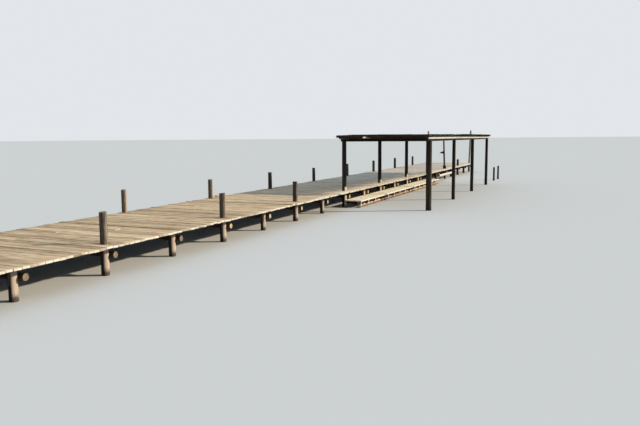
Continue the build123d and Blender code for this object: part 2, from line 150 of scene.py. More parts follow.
class Graph:
    """The shader nodes of a material or a world, added and linked by short calls."""

    def __init__(self, owner: bpy.types.Material | bpy.types.World) -> None:
        """Starts on the nodes that a new material or world has."""
        owner.use_nodes = True
        self.owner = owner
        self.tree = owner.node_tree

    def feed(self, node: bpy.types.Node, inputs: Inputs) -> None:
        """Links values to a node's inputs, and sets inputs to plain numbers."""
        for name, value in inputs.items():
            if isinstance(value, Value):
                self.tree.links.new(value.socket, node.inputs[name])
            else:
                node.inputs[name].default_value = value

    def add(
        self, kind: str, output: str | int, inputs: Inputs | None = None, **settings: str,
    ) -> Value:
        """Adds a node with its settings and inputs, and gives one of its outputs."""
        node = self.tree.nodes.new(f"ShaderNode{kind}")
        for name, setting in settings.items():
            setattr(node, name, setting)
        self.feed(node, inputs or {})
        return Value(self, node.outputs[output])

    def grain(self) -> Value:
        """Each timber's own coordinates, with Z along its grain."""
        return self.add("Attribute", "Vector", attribute_name="grain")

    def tone(self) -> Value:
        """Each timber's own shade, from 0 to 1."""
        return self.add("Attribute", "Fac", attribute_name="tone")

    def place(self) -> Value:
        """The place in the frame."""
        return self.add("TexCoord", "Object")

    def seen(self) -> Value:
        """1 for the camera's rays, also in a mirror or through glass, and 0 for light's."""
        seen, *others = (
            self.add("LightPath", f"Is {ray} Ray") for ray in ("Camera", "Glossy", "Transmission")
        )
        return seen.highest(others[0].highest(others[1]))

    def facing(self, direction: Triple) -> Value:
        """How far the surface faces a direction, from -1 to 1."""
        ways = {0: self.add("NewGeometry", "Normal"), 1: Vector(direction).normalized()}
        return self.add("VectorMath", "Value", ways, operation="DOT_PRODUCT")

    def drawn(self, grain: Value, factor: float) -> Value:
        """The grain's coordinates, for a pattern that is drawn out along it."""
        return self.add("Mapping", "Vector", {"Vector": grain, "Scale": (1, 1, factor)})

    def noise(
        self, vector: Value, scale: float, detail: float = 3.0, roughness: float = 0.55,
    ) -> Value:
        """Soft noise from about 0.25 to 0.75."""
        inputs = {"Vector": vector, "Scale": scale, "Detail": detail, "Roughness": roughness}
        return self.add("TexNoise", "Fac", inputs)

    def rings(self, vector: Value, scale: float, distortion: float) -> Value:
        """Growth rings about the grain's axis."""
        inputs = {"Vector": vector, "Scale": scale, "Distortion": distortion, "Detail": 2.0}
        return self.add("TexWave", "Fac", inputs, wave_type="RINGS", rings_direction="Z")

    def math(self, operation: str, first: Value, second: Value | float) -> Value:
        """Two numbers joined to one."""
        return self.add("Math", 0, {0: first, 1: second}, operation=operation)

    def between(
        self, value: Value, low: Value | float, high: float, start: float = 0.0, end: float = 1.0,
    ) -> Value:
        """A number read from low to high, as start to end, and smooth at both ends."""
        inputs = dict(enumerate((value, low, high, start, end)))
        return self.add("MapRange", 0, inputs, interpolation_type="SMOOTHSTEP")

    def ramp(self, value: Value, stops: list[tuple[float, Triple]]) -> Value:
        """A colour for each number, by stops."""
        colour = self.add("ValToRGB", "Color", {0: value})
        marks = colour.socket.node.color_ramp.elements
        while len(marks) < len(stops):
            marks.new(0.5)
        for mark, (position, shade) in zip(marks, stops):
            mark.position = position
            mark.color = (*shade, 1.0)
        return colour

    def mix(
        self, share: Value | float, first: Value | Triple, second: Value | Triple,
        blend: str = "MIX",
    ) -> Value:
        """Two colours mixed by a share."""
        inputs = {0: share}
        for socket, colour in ((6, first), (7, second)):
            inputs[socket] = colour if isinstance(colour, Value) else (*colour, 1.0)
        return self.add("Mix", 2, inputs, data_type="RGBA", blend_type=blend)

    def relief(self, height: Value, strength: float, distance: float) -> Value:
        """The normal of a surface that follows a height."""
        inputs = {"Height": height, "Strength": strength, "Distance": distance}
        return self.add("Bump", "Normal", inputs)

    def surface(
        self, colour: Value, roughness: float, shine: float = 0.5, **more: object,
    ) -> bpy.types.Material:
        """Sets how the material's surface looks, and gives the material."""
        looks = {"Base Color": colour, "Roughness": roughness, "Specular IOR Level": shine}
        self.feed(self.tree.nodes["Principled BSDF"], {**looks, **more})
        return self.owner


@dataclass(frozen=True)
class WoodFinish:
    """Weathered timber: streaks of grain, open splits, a damp foot, and a pale side that is painted
    sunlight and sun bleaching.

    Scales are in waves per metre across the grain, and stretches say how far a pattern is drawn
    out along it. Below a height the pale side is wider and paler: painted sunlight on lower parts.
    """

    name: str
    dark: Triple
    mid: Triple
    pale: Triple
    bleached_and_sunlit: Triple
    bleached_share: float = 0.35
    bleached_side: Triple = SUNNY_SIDE
    bleached_turn: Pair = (0.25, 0.8)
    low_share: float | None = None
    low_height: float = 0.56
    lit_low_turn: Pair = (-0.2, 0.3)
    dull_tones: Pair = (0.0, 0.4)
    dull_shares: Pair = (0.25, 1.0)
    bright_tones: Pair = (0.85, 1.0)
    bright_shares: Pair = (0.0, 0.9)
    worn_scale: float = 24.0
    worn_stretch: float = 0.08
    worn_between: Pair = (0.38, 0.62)
    grain_weight: float = 0.95
    fibre_scale: float = 70.0
    fibre_stretch: float = 0.045
    patch_scale: float = 7.0
    patch_stretch: float = 0.3
    patch_weight: float = 0.33
    ring_scale: float = 22.0
    ring_stretch: float = 0.12
    ring_waver: float = 5.0
    ring_weight: float = 0.1
    stops: Triple = (0.33, 0.52, 0.72)
    split_scale: float = 55.0
    split_stretch: float = 0.02
    split_between: Pair = (0.36, 0.29)
    split_share: float = 0.6
    split_shade: float = 0.3
    tone_spread: float = 0.55
    damp_height: float = 0.0
    damp_edge: Pair = (0.7, -0.1)
    damp_scale: float = 14.0
    damp_share: float = 0.85
    damp: Triple = display("2c261a")
    relief: float = 0.5
    relief_depth: float = 0.004
    roughness: float = 0.88
    shine: float = 0.25

    def material(self) -> bpy.types.Material:
        """Builds the finish for the long sides of a timber."""
        graph = Graph(bpy.data.materials.new(self.name))
        grain = graph.grain()
        fibres = graph.noise(graph.drawn(grain, self.fibre_stretch), self.fibre_scale, 4, 0.65)
        patches = graph.noise(graph.drawn(grain, self.patch_stretch), self.patch_scale)
        rings = graph.rings(graph.drawn(grain, self.ring_stretch), self.ring_scale, self.ring_waver)
        shade = fibres * (self.grain_weight - self.patch_weight) + patches * self.patch_weight
        shade = shade + rings * self.ring_weight
        wood = graph.ramp(shade, list(zip(self.stops, (self.dark, self.mid, self.pale))))
        spread = self.tone_spread / 2
        tone = graph.between(graph.tone(), 0, 1, 1 - spread, 1 + spread)
        grey = graph.add("CombineColor", 0, {0: tone, 1: tone, 2: tone})
        wood = graph.mix(1.0, wood, grey, "MULTIPLY")
        wood = self.bleach_and_paint_sun(graph, grain, wood)
        lines = graph.noise(graph.drawn(grain, self.split_stretch), self.split_scale, 2, 0.4)
        splits = graph.between(lines, *self.split_between)
        shadow = tuple(self.split_shade * part for part in self.dark)
        wood = graph.mix(splits * self.split_share, wood, shadow)
        if self.damp_height:
            edge = graph.noise(grain, self.damp_scale) * self.damp_height
            height = graph.place().part("Z") - edge
            wet = graph.between(height, *(self.damp_height * share for share in self.damp_edge))
            wood = graph.mix(wet * self.damp_share, wood, self.damp)
        relief = graph.relief(fibres - splits, self.relief, self.relief_depth)
        return graph.surface(wood, self.roughness, self.shine, Normal=relief)

    def bleach_and_paint_sun(self, graph: Graph, grain: Value, wood: Value) -> Value:
        """Pales the side that the sun reaches, more so on timbers of a high tone: painted sunlight,
        also standing for sun bleaching.
        """
        # Mixes the sun's side towards the pale colour: painted sunlight, partly real sun bleaching
        side = graph.facing(self.bleached_side)
        sunny = graph.between(side, *self.bleached_turn)
        streaks = graph.noise(graph.drawn(grain, self.worn_stretch), self.worn_scale, 4)
        worn = graph.between(streaks, *self.worn_between)
        share = self.bleached_share
        # Below the height: painted sunlight, below where the roof's shadow ends on the posts, and
        # on the piles under the deck
        if self.low_share is not None:
            height = graph.place().part("Z")
            below, above = self.low_height - HALF_BLUR, self.low_height + HALF_BLUR
            low = graph.between(height, above, below)
            worn = worn.highest(low)
            sunny = sunny.highest(low * graph.between(side, *self.lit_low_turn))
            share = graph.between(height, below, above, self.low_share, self.bleached_share)
        tone = graph.tone()
        exposed = graph.between(tone, *self.dull_tones, *self.dull_shares)
        exposed = exposed + graph.between(tone, *self.bright_tones, *self.bright_shares)
        return graph.mix(sunny * worn * (exposed * share), wood, self.bleached_and_sunlit)


@dataclass(frozen=True)
class DeckFinish(WoodFinish):
    """Deck boards, greyer towards the lake as weathering and painted shade, with painted sunlight
    along their near ends.
    """

    speckle_scale: float = 9.0
    speckle_between: Pair = (0.3, 0.65)
    # Greyer colour towards the lake: partly weathering, partly the painted sky-lit grey of the
    # roof's shade
    weathered: Triple = display("ded5c7")
    greying_and_shade_along: Pair = (9.0, 29.0)
    greying_and_shade_share: Pair = (0.4, 0.85)
    near_edge: float = -0.335
    past_edge: float = 0.08
    painted_sunlight: Triple = display("f3e8ce")
    painted_sunlight_reach: Pair = (0.03, 0.5)
    painted_sunlight_share: Pair = (0.4, 0.9)
    painted_sunlight_raggedness: float = 0.12
    berth_start: Pair = (11.0, 15.0)

    def bleach_and_paint_sun(self, graph: Graph, grain: Value, wood: Value) -> Value:
        """Pales the boards as any wood, greys them towards the lake as weathering and painted
        shade, then paints sunlight on their near ends.
        """
        wood = super().bleach_and_paint_sun(graph, grain, wood)
        along = graph.place().part("X")
        speckle = graph.noise(grain, self.speckle_scale)
        # Greying along the jetty: partly weathering, partly painted shade colour under the roof
        patches = graph.between(speckle, *self.speckle_between, *self.greying_and_shade_share)
        exposed = graph.between(along, *self.greying_and_shade_along)
        wood = graph.mix(exposed * patches, wood, self.weathered)
        # Painted sunlight: a cream strip along the near edge, wide where the roof's shadow leaves
        # it sunlit
        across = graph.place().part("Y") - speckle * self.painted_sunlight_raggedness
        reaches = (self.near_edge + reach for reach in self.painted_sunlight_reach)
        reach = graph.between(along, *self.berth_start, *reaches)
        share = graph.between(along, *self.berth_start, *self.painted_sunlight_share)
        painted_sunlight = graph.between(across, reach, self.near_edge - self.past_edge)
        return graph.mix(painted_sunlight * share, wood, self.painted_sunlight)


@dataclass(frozen=True)
class EndGrainFinish:
    """A sawn end: growth rings, stains and splits that open from the heart."""

    name: str
    ring: Triple
    between: Triple
    split: Triple
    ring_scale: float = 28.0
    ring_waver: float = 1.5
    ring_between: Pair = (0.2, 0.8)
    split_scale: float = 5.5
    split_between: Pair = (0.40, 0.34)
    split_share: float = 0.75
    stain_scale: float = 16.0
    stain_between: Pair = (0.42, 0.66)
    stain_share: float = 0.4
    dark_tone: float = 0.4
    darkest: float = 0.35
    relief: float = 0.35
    relief_depth: float = 0.003
    roughness: float = 0.9
    shine: float = 0.2

    def material(self) -> bpy.types.Material:
        """Builds the finish for a timber's sawn ends, darker where its tone is low."""
        graph = Graph(bpy.data.materials.new(self.name))
        grain = graph.grain()
        across = graph.drawn(grain, 0)
        rings = graph.rings(across, self.ring_scale, self.ring_waver)
        wood = graph.mix(graph.between(rings, *self.ring_between), self.between, self.ring)
        round_heart = graph.add("VectorMath", 0, {0: across}, operation="NORMALIZE")
        cracks = graph.noise(round_heart, self.split_scale, 2, 0.5)
        splits = graph.between(cracks, *self.split_between)
        stain = graph.between(graph.noise(grain, self.stain_scale), *self.stain_between)
        aged = graph.between(graph.tone(), 0.0, self.dark_tone, 1 - self.darkest, 0.0)
        for share in (splits * self.split_share, stain * self.stain_share, aged):
            wood = graph.mix(share, wood, self.split)
        relief = graph.relief(rings - splits * 2.0, self.relief, self.relief_depth)
        return graph.surface(wood, self.roughness, self.shine, Normal=relief)


def iron_material(dark: Triple, rust: Triple) -> bpy.types.Material:
    """The rusted iron of nails and bolts."""
    graph = Graph(bpy.data.materials.new("rusted_iron"))
    patches = graph.noise(graph.place(), 90.0, 4, 0.7)
    colour = graph.ramp(patches, [(0.4, dark), (0.62, rust)])
    relief = graph.relief(patches, 0.4, 0.001)
    return graph.surface(colour, 0.75, Metallic=0.35, Normal=relief)


def sawn(name: str, shades: str, **more: float) -> EndGrainFinish:
    """A finish of sawn ends, from the shades of its rings, what is between, and its splits."""
    return EndGrainFinish(name, *map(display, shades.split()), **more)


def wood(
    name: str, shades: str, kind: type[WoodFinish] = WoodFinish, **more: object,
) -> WoodFinish:
    """A finish of timber, from its dark, mid, pale and bleached shades."""
    return kind(name, *map(display, shades.split()), **more)


CREAM = sawn("sawn_cream", "eee4ce f9f4e6 8c7860", stain_share=0.3)
GREY = sawn("sawn_grey", "80705c a6947a 342a22")
DARK = sawn("sawn_dark", "322820 4c3e30 18130f")
TAN = sawn("sawn_tan", "ceb894 eedfc0 5c4834")

# A wood's fourth shade is its pale sun side: painted sunlight, partly also sun bleaching
# By the record's slot, or by the node that looks unlike the rest of its slot
WOODS = {
    "deck_boards": (CREAM, wood(
        "deck_wood", "705740 c4a782 ead1ae f0dbbb", kind=DeckFinish, bleached_side=UPWARDS,
        tone_spread=0.5, patch_weight=0.45, patch_scale=10.0,
    )),
    "stringers": (DARK, wood("stringer_wood", "140f0c 281f19 46382c 605040", bleached_share=0.15)),
    "cap_logs": (TAN, wood("cap_log_wood", "3a2c22 68523e 8e7458 b29c7c")),
    "approach_cap_logs": (TAN, wood(
        "dark_cap_log_wood", "281e18 4e3c2e 705a46 968268", bleached_share=0.2,
    )),
    # Dark all round, deepened as painted shade, with painted sunlight on the sun's side and lower
    # down
    "bollards": (GREY, wood(
        "bollard_wood", "1e1916 423933 72655a dcc6af", bleached_share=0.4,
        bleached_turn=(0.1, 0.75), low_share=0.9, tone_spread=0.8, damp_height=0.13,
    )),
    # Near-black all round as painted shade over dark wood, with painted sunlight on the sun's side
    # below the roof's shadow
    "shelter_posts": (GREY, wood(
        "post_wood", "120f0e 28221e 463c32 e2d2b8", bleached_share=0.12, bleached_turn=(0.1, 0.7),
        low_share=0.95, low_height=0.72, tone_spread=0.9, damp_height=0.1,
    )),
    "outer_shelter_posts": (GREY, wood(
        "outer_post_wood", "120f0c 2c251e 4e4234 8c7c64", bleached_share=0.3,
        bleached_turn=(0.3, 0.85), tone_spread=0.9, damp_height=0.14,
    )),
    "roof_beams": (DARK, wood("beam_wood", "110c0a 231a15 403126 64503e", bleached_share=0.3)),
    "roof_joists": (TAN, wood("joist_wood", "221913 423125 624c39 826a50", bleached_share=0.3)),
    "roof_covering": (TAN, wood(
        "reed", "160e0b 36251d 6a4e3b aa947c", bleached_side=UPWARDS, bleached_share=0.45,
        fibre_scale=160.0, tone_spread=1.3, relief=0.7,
    )),
    "edge_boards": (CREAM, wood(
        "edge_board_wood", "a49989 c9c2b6 dfdad0 e6e3dc", tone_spread=0.2, patch_weight=0.5,
    )),
    "landing_boards": (CREAM, wood(
        "landing_wood", "e8d9b8 fbf5e1 fffcf0 fffcf2", bleached_side=UPWARDS, bleached_share=0.5,
        tone_spread=0.12, split_share=0.35,
    )),
    # Near-black: painted shade of the dark recess above the skirt and of the shaded end faces, over
    # dark wood
    "landing_frame": (TAN, wood(
        "landing_frame_wood", "100c09 221913 3a2b20 5a4634", bleached_share=0.15, damp_height=0.1,
    )),
    "skirt_boards": (CREAM, wood(
        "skirt_wood", "c08e68 e6c09b f5dec3 f6e2ca", damp_height=0.09, damp=display("643a22"),
    )),
    "battens": (CREAM, wood(
        "batten_wood", "d6c6aa f3ebd9 faf5e8 faf6ec", tone_spread=0.2, damp_height=0.05,
    )),
    "poles": (GREY, wood(
        "pole_wood", "1c1816 342d28 544a41 a09482", bleached_share=0.3, damp_height=0.14,
    )),
    "end_poles": (GREY, wood(
        "end_pole_wood", "5c5b56 82827b a8a79f d0d0c7", bleached_share=0.7,
        bleached_turn=(0.0, 0.45), damp_height=0.14,
    )),
    "fender": (CREAM, wood(
        "fender_wood", "beb7a8 ded9ce eae6de ece9e2", tone_spread=0.1, split_share=0.35,
    )),
}


@dataclass
class Finishes:
    """Every finish of the jetty, built once: a side and an end for each wood, and the iron."""

    woods: dict[str, Materials] = field(init=False)
    iron: bpy.types.Material = field(init=False)

    def __post_init__(self) -> None:
        """Builds all the materials."""
        ends = {end.name: end.material() for end in (CREAM, GREY, DARK, TAN)}
        self.woods = {key: [side.material(), ends[end.name]] for key, (end, side) in WOODS.items()}
        self.iron = iron_material(display("261e1b"), display("70422a"))

    def of(self, node: str) -> Materials:
        """A node's own finish, or else that of its slot."""
        return self.woods[node if node in self.woods else slot_of(node)]


# Shaping

def slot_of(node: str) -> str:
    """The material slot that the record gives a node."""
    parts = frame["record"]["subparts"]
    return next(part["material_slot"] for part in parts if part["node"] == node)


def connected(shape: Shape) -> list[set[int]]:
    """The vertex numbers of each group that hangs together."""
    shape.verts.index_update()
    left = {vert.index: vert for vert in shape.verts}
    groups = []
    while left:
        group = set()
        front = [left.pop(next(iter(left)))]
        while front:
            vert = front.pop()
            group.add(vert.index)
            numbers = (edge.other_vert(vert).index for edge in vert.link_edges)
            front += [left.pop(number) for number in numbers if number in left]
        groups.append(group)
    return groups


def bounds(shape: Shape) -> Box:
    """The lowest and highest corner of a shape's box."""
    low, high = (
        Vector([pick(vert.co[axis] for vert in shape.verts) for axis in range(3)])
        for pick in (min, max)
    )
    return low, high


def middle_of(shape: Shape) -> Vector:
    """The middle of a shape's box."""
    low, high = bounds(shape)
    return (low + high) / 2


def solids_of(*nodes: str) -> list[Shape]:
    """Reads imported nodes.

    Args:
        nodes: the nodes' names.

    Returns:
        Each node's closed solids, in order along the jetty, with their triangles joined to
        flat faces.
    """
    found = []
    for node in nodes:
        whole = bmesh.new()
        whole.from_mesh(frame["nodes"][node].data)
        bmesh.ops.remove_doubles(whole, verts=whole.verts, dist=1e-5)
        bmesh.ops.dissolve_limit(
            whole, angle_limit=math.radians(1), verts=whole.verts, edges=whole.edges,
        )
        solids = []
        for group in connected(whole):
            solid = whole.copy()
            others = [vert for vert in solid.verts if vert.index not in group]
            bmesh.ops.delete(solid, geom=others, context="VERTS")
            solids.append(solid)
        found += sorted(solids, key=lambda solid: [round(part, 3) for part in bounds(solid)[0]])
    return found


def box_shape(low: Vector, high: Vector) -> Shape:
    """A squared block between two corners."""
    shape = bmesh.new()
    size = Matrix.LocRotScale((low + high) / 2, None, high - low)
    bmesh.ops.create_cube(shape, size=1, matrix=size)
    return shape


def cut_across(shape: Shape, point: Vector, normal: Vector, clear: bool = False) -> Edges:
    """Cuts a shape's faces along a plane, and can clear away what lies beyond it."""
    everything = [*shape.verts, *shape.edges, *shape.faces]
    cut = bmesh.ops.bisect_plane(
        shape, geom=everything, dist=1e-6, plane_co=point, plane_no=normal, clear_outer=clear,
    )
    return [part for part in cut["geom_cut"] if isinstance(part, bmesh.types.BMEdge)]


def saw_off(shape: Shape, point: Vector, normal: Vector) -> None:
    """Cuts away what lies beyond a plane and closes the cut with a flat face."""
    bmesh.ops.holes_fill(shape, edges=cut_across(shape, point, normal, clear=True), sides=0)


def add_stations(shape: Shape, axis: Axis, spacing: float) -> None:
    """Cuts a shape's faces across its length at even steps, so that it can bend."""
    low, high = bounds(shape)
    length = (high - low)[axis.value]
    count = int(length // spacing)
    for number in range(1, count + 1):
        cut_across(shape, low + axis.unit * (length * number / (count + 1)), axis.unit)


def edges_over(shape: Shape, angle: float) -> Edges:
    """The edges where two faces meet more sharply than an angle."""
    return [
        edge for edge in shape.edges if edge.is_manifold and edge.calc_face_angle(0.0) > angle
    ]


def bevel(shape: Shape, edges: Edges, width: float) -> None:
    """Rounds some edges of a shape."""
    bmesh.ops.bevel(
        shape, geom=edges, offset=width, offset_type="OFFSET", segments=2, profile=0.5,
        affect="EDGES", clamp_overlap=True, material=-1,
    )


def mesh_of(name: str, shape: Shape) -> bpy.types.Mesh:
    """A mesh from a shape, which is freed."""
    mesh = bpy.data.meshes.new(name)
    shape.to_mesh(mesh)
    shape.free()
    return mesh


def linked(name: str, data: bpy.types.ID) -> bpy.types.Object:
    """A new object in the scene."""
    thing = bpy.data.objects.new(name, data)
    bpy.context.scene.collection.objects.link(thing)
    return thing


@dataclass(frozen=True)
class Wear:
    """How a squared timber has weathered, in metres."""

    edge: float = 0.004
    spacing: float = 0.3
    waver: float = 0.003
    wavelength: float = 0.5

    def apply(self, shape: Shape, axis: Axis, chance: random.Random) -> None:
        """Rounds a timber's edges and lets its faces waver, but not along its length."""
        bevel(shape, edges_over(shape, ROUNDED_OVER), self.edge)
        add_stations(shape, axis, self.spacing)
        seed = Vector([chance.uniform(-50, 50) for _ in range(3)])
        for vert in shape.verts:
            shift = noise.noise_vector(vert.co / self.wavelength + seed) * self.waver
            shift[axis.value] = 0.0
            vert.co += shift


@dataclass
class Log:
    """A debarked log between two points of its axis, with splits along its grain.

    The top is sawn off at a plane, where one is given as a point and a normal.
    """

    foot: Vector
    top: Vector
    foot_radius: float
    top_radius: float
    saw: Box | None = None
    columns: int = 28
    ring_spacing: float = 0.16
    splits: int = 2
    split_depth: float = 0.012
    split_width: float = 0.0035
    swell: float = 0.05
    swell_rate: float = 1.6
    rim: float = 0.006
    sway: float = 0.0
    through_share: float = 0.65
    through_starts: Pair = (0.15, 0.6)
    through_ends: Pair = (1.1, 1.6)
    inner_starts: Pair = (0.1, 0.5)
    inner_lengths: Pair = (0.25, 0.45)

    def placement(self) -> Matrix:
        """The log's own frame, with its foot at the origin and Z along its axis."""
        turn = (self.top - self.foot).to_track_quat("Z", "Y").to_matrix().to_4x4()
        return Matrix.Translation(self.foot) @ turn

    def build(self, chance: random.Random) -> Shape:
        """Shapes the log in its place."""
        length = (self.top - self.foot).length
        log = bmesh.new()
        bmesh.ops.create_cone(
            log, cap_ends=True, segments=self.columns, radius1=self.foot_radius,
            radius2=self.top_radius, depth=length, matrix=Matrix.Translation((0, 0, length / 2)),
        )
        upright = [
            edge for edge in log.edges
            if abs(edge.verts[0].co.z - edge.verts[1].co.z) > length / 2
        ]
        cuts = max(3, round(length / self.ring_spacing))
        bmesh.ops.subdivide_edges(log, edges=upright, cuts=cuts)
        self.weather(log, length, chance)
        log.transform(self.placement())
        if self.saw:
            saw_off(log, *self.saw)
        rims = [
            edge for edge in edges_over(log, RIM_OVER)
            if any(len(face.verts) > self.columns / 2 for face in edge.link_faces)
        ]
        bevel(log, rims, self.rim)
        return log

    def weather(self, log: Shape, length: float, chance: random.Random) -> None:
        """Gives the round log its swellings, a slight sway and its splits."""
        seed = Vector([chance.uniform(-40, 40) for _ in range(3)])
        step = math.tau / self.columns
        chosen = chance.sample(range(0, self.columns, 4), self.splits)
        spans = {column: self.split_span(length, chance) for column in chosen}
        sway_turn = chance.uniform(0, math.tau)
        for vert in log.verts:
            angle = math.atan2(vert.co.y, vert.co.x)
            column = round(angle / step) % self.columns
            radius = math.hypot(vert.co.x, vert.co.y)
            along = vert.co.z
            sample = Vector((math.cos(angle), math.sin(angle), along * self.swell_rate)) + seed
            radius *= 1 - self.swell * (0.5 + 0.5 * noise.noise(sample))
            for split, (start, end) in spans.items():
                offset = (column - split + self.columns // 2) % self.columns - self.columns // 2
                if abs(offset) == 1:
                    angle = split * step + offset * self.split_width / radius
                if offset == 0 and start < along < end:
                    opened = math.sin(math.pi * (along - start) / (end - start)) ** 0.4
                    radius -= self.split_depth * opened
            bend = self.sway * math.sin(math.pi * along / length)
            vert.co.x = radius * math.cos(angle) + bend * math.cos(sway_turn)
            vert.co.y = radius * math.sin(angle) + bend * math.sin(sway_turn)

    def split_span(self, length: float, chance: random.Random) -> Pair:
        """Where along the log a split starts and ends; most run out through the top."""
        if chance.random() < self.through_share:
            start = chance.uniform(*self.through_starts)
            return length * start, length * chance.uniform(*self.through_ends)
        start = length * chance.uniform(*self.inner_starts)
        return start, start + length * chance.uniform(*self.inner_lengths)


def log_across(solid: Shape, tapers: Pair, **more: float) -> Log:
    """A log across the jetty in a solid's place, with a share of its radius left at each end."""
    corners = bounds(solid)
    middle = middle_of(solid)
    ends = (Vector((middle.x, corner.y, middle.z)) for corner in corners)
    radius = (corners[1].z - corners[0].z) / 2
    return Log(*ends, *(radius * taper for taper in tapers), **more)


@dataclass
class Piece:
    """A named mesh that timbers are added to, each with its own grain and tone."""

    name: str
    seed: int
    chance: random.Random = field(init=False)
    whole: Shape = field(init=False)

    def __post_init__(self) -> None:
        """Starts an empty mesh and the piece's own fixed order of chance."""
        self.chance = random.Random(self.seed)
        self.whole = bmesh.new()

    def add(
        self, timber: Shape, to_grain: Matrix, shift: float = 5.0, tone: float | None = None,
    ) -> None:
        """Adds one timber and frees it.

        Args:
            timber: the timber's closed shape, in its place.
            to_grain: turns its place to coordinates with Z along the grain.
            shift: how far its pattern may be moved off, so that no two timbers match.
            tone: its shade from 0 to 1, or None for one by chance.
        """
        timber.normal_update()
        grain = timber.verts.layers.float_vector.new("grain")
        shade = timber.verts.layers.float.new("tone")
        tone = self.chance.random() if tone is None else tone
        offset = Vector([self.chance.uniform(-shift, shift) for _ in range(3)])
        for vert in timber.verts:
            vert[grain] = to_grain @ vert.co + offset
            vert[shade] = tone
        turn = to_grain.to_3x3()
        for face in timber.faces:
            face.smooth = True
            at_end = abs((turn @ face.normal).z) > END_FACING
            face.material_index = (Paint.END if at_end else Paint.SIDE).value
        self.merge(timber)

    def merge(self, shape: Shape) -> None:
        """Puts a shape into the piece's mesh and frees it."""
        mesh = mesh_of("part", shape)
        self.whole.from_mesh(mesh)
        bpy.data.meshes.remove(mesh)

    def add_squared(
        self, timber: Shape, axis: Axis, wear: Wear, tone: float | None = None,
    ) -> None:
        """Weathers a squared timber and adds it."""
        wear.apply(timber, axis, self.chance)
        self.add(timber, axis.to_grain, tone=tone)

    def add_log(self, log: Log, tone: float | None = None) -> None:
        """Builds a log and adds it, its rings centred on its heart."""
        self.add(log.build(self.chance), log.placement().inverted(), shift=0.0, tone=tone)

    def finish(self, materials: Materials, slot: str | None = None, *replaced: str) -> None:
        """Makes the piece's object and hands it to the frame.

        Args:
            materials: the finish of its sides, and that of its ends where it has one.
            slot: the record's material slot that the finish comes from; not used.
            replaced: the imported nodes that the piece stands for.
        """
        mesh = mesh_of(self.name, self.whole)
        for material in materials:
            mesh.materials.append(material)
        mesh.set_sharp_from_angle(angle=SHADED_FLAT_OVER)
        piece = linked(self.name, mesh)
        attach(piece, BODY)
        if replaced:
            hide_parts(*replaced)
        mesh.calc_loop_triangles()
        LOG.info("%s: %d triangles", self.name, len(mesh.loop_triangles))


@dataclass
class Ironwork:
    """Nails and bolts, gathered while the timbers are built."""

    nail_size: Pair = (0.005, 0.003)
    nail_sides: int = 5
    bolt_size: Pair = (0.013, 0.012)
    bolt_sides: int = 6
    washer_size: Pair = (0.025, 0.004)
    washer_sides: int = 14
    washer_sunk: float = 0.002
    crown: float = 0.8
    nails: Piece = field(default_factory=lambda: Piece("nails", 71))
    bolts: Piece = field(default_factory=lambda: Piece("bolts", 72))

    def stud(self, piece: Piece, place: Vector, out: Vector, size: Pair, sides: int) -> None:
        """Adds a low many-sided head, of a radius and height, that stands out of a surface."""
        radius, height = size
        turn = out.to_track_quat("Z", "Y").to_matrix().to_4x4()
        spin = Matrix.Rotation(piece.chance.uniform(0, math.tau), 4, "Z")
        seat = Matrix.Translation(place) @ turn @ spin @ Matrix.Translation((0, 0, height / 2))
        bmesh.ops.create_cone(
            piece.whole, cap_ends=True, segments=sides, radius1=radius,
            radius2=radius * self.crown, depth=height, matrix=seat,
        )

    def nail(self, place: Vector, out: Vector) -> None:
        """Adds a nail's head."""
        self.stud(self.nails, place, out, self.nail_size, self.nail_sides)

    def bolt(self, place: Vector, out: Vector) -> None:
        """Adds a six-sided bolt head on its round washer."""
        washer = place - out * self.washer_sunk
        self.stud(self.bolts, washer, out, self.washer_size, self.washer_sides)
        self.stud(self.bolts, place, out, self.bolt_size, self.bolt_sides)


# The jetty's parts

@dataclass
class Part:
    """What every sub-assembly shares: the finishes and the ironwork."""

    finishes: Finishes
    ironwork: Ironwork

    def finish(self, piece: Piece, node: str) -> None:
        """Makes a piece that stands for a node, in the finish of the node or of its slot."""
        piece.finish(self.finishes.of(node), slot_of(node), node)

    def remake(
        self, style: str, node: str, seed: int, add: Callable[[Piece, Shape], None],
    ) -> None:
        """Makes a piece in a node's place, timber by timber.

        Args:
            style: comes before the node's name in that of the piece.
            node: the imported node.
            seed: fixes the piece's order of chance.
            add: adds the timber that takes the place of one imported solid.
        """
        piece = Piece(f"{style}_{node}", seed)
        for solid in solids_of(node):
            add(piece, solid)
        self.finish(piece, node)

    def weathered(self, node: str, axis: Axis, seed: int, wear: Wear = Wear()) -> None:
        """Makes a worn twin of a node of squared timbers that lie along an axis."""
        self.remake("worn", node, seed, partial(Piece.add_squared, axis=axis, wear=wear))


def foot_of(solid: Shape) -> Foot:
    """The middle and the radius of a standing log's foot."""
    lowest = bounds(solid)[0].z
    ring = [vert.co for vert in solid.verts if vert.co.z < lowest + 1e-4]
    low, high = ([pick(point[axis] for point in ring) for axis in (0, 1)] for pick in (min, max))
    middle = Vector(((low[0] + high[0]) / 2, (low[1] + high[1]) / 2, lowest))
    return middle, (high[0] - low[0]) / 2


def saw_plane(solid: Shape) -> Box:
    """The plane of a standing log's sawn top, as a point and a normal."""
    floor = bounds(solid)[1].z - SAWN_DEPTH
    tops = [
        face for face in solid.faces
        if face.normal.z > SAWN_FACING and face.calc_center_median().z > floor
    ]
    top = max(tops, key=lambda face: face.calc_area())
    return top.calc_center_median(), top.normal.copy()


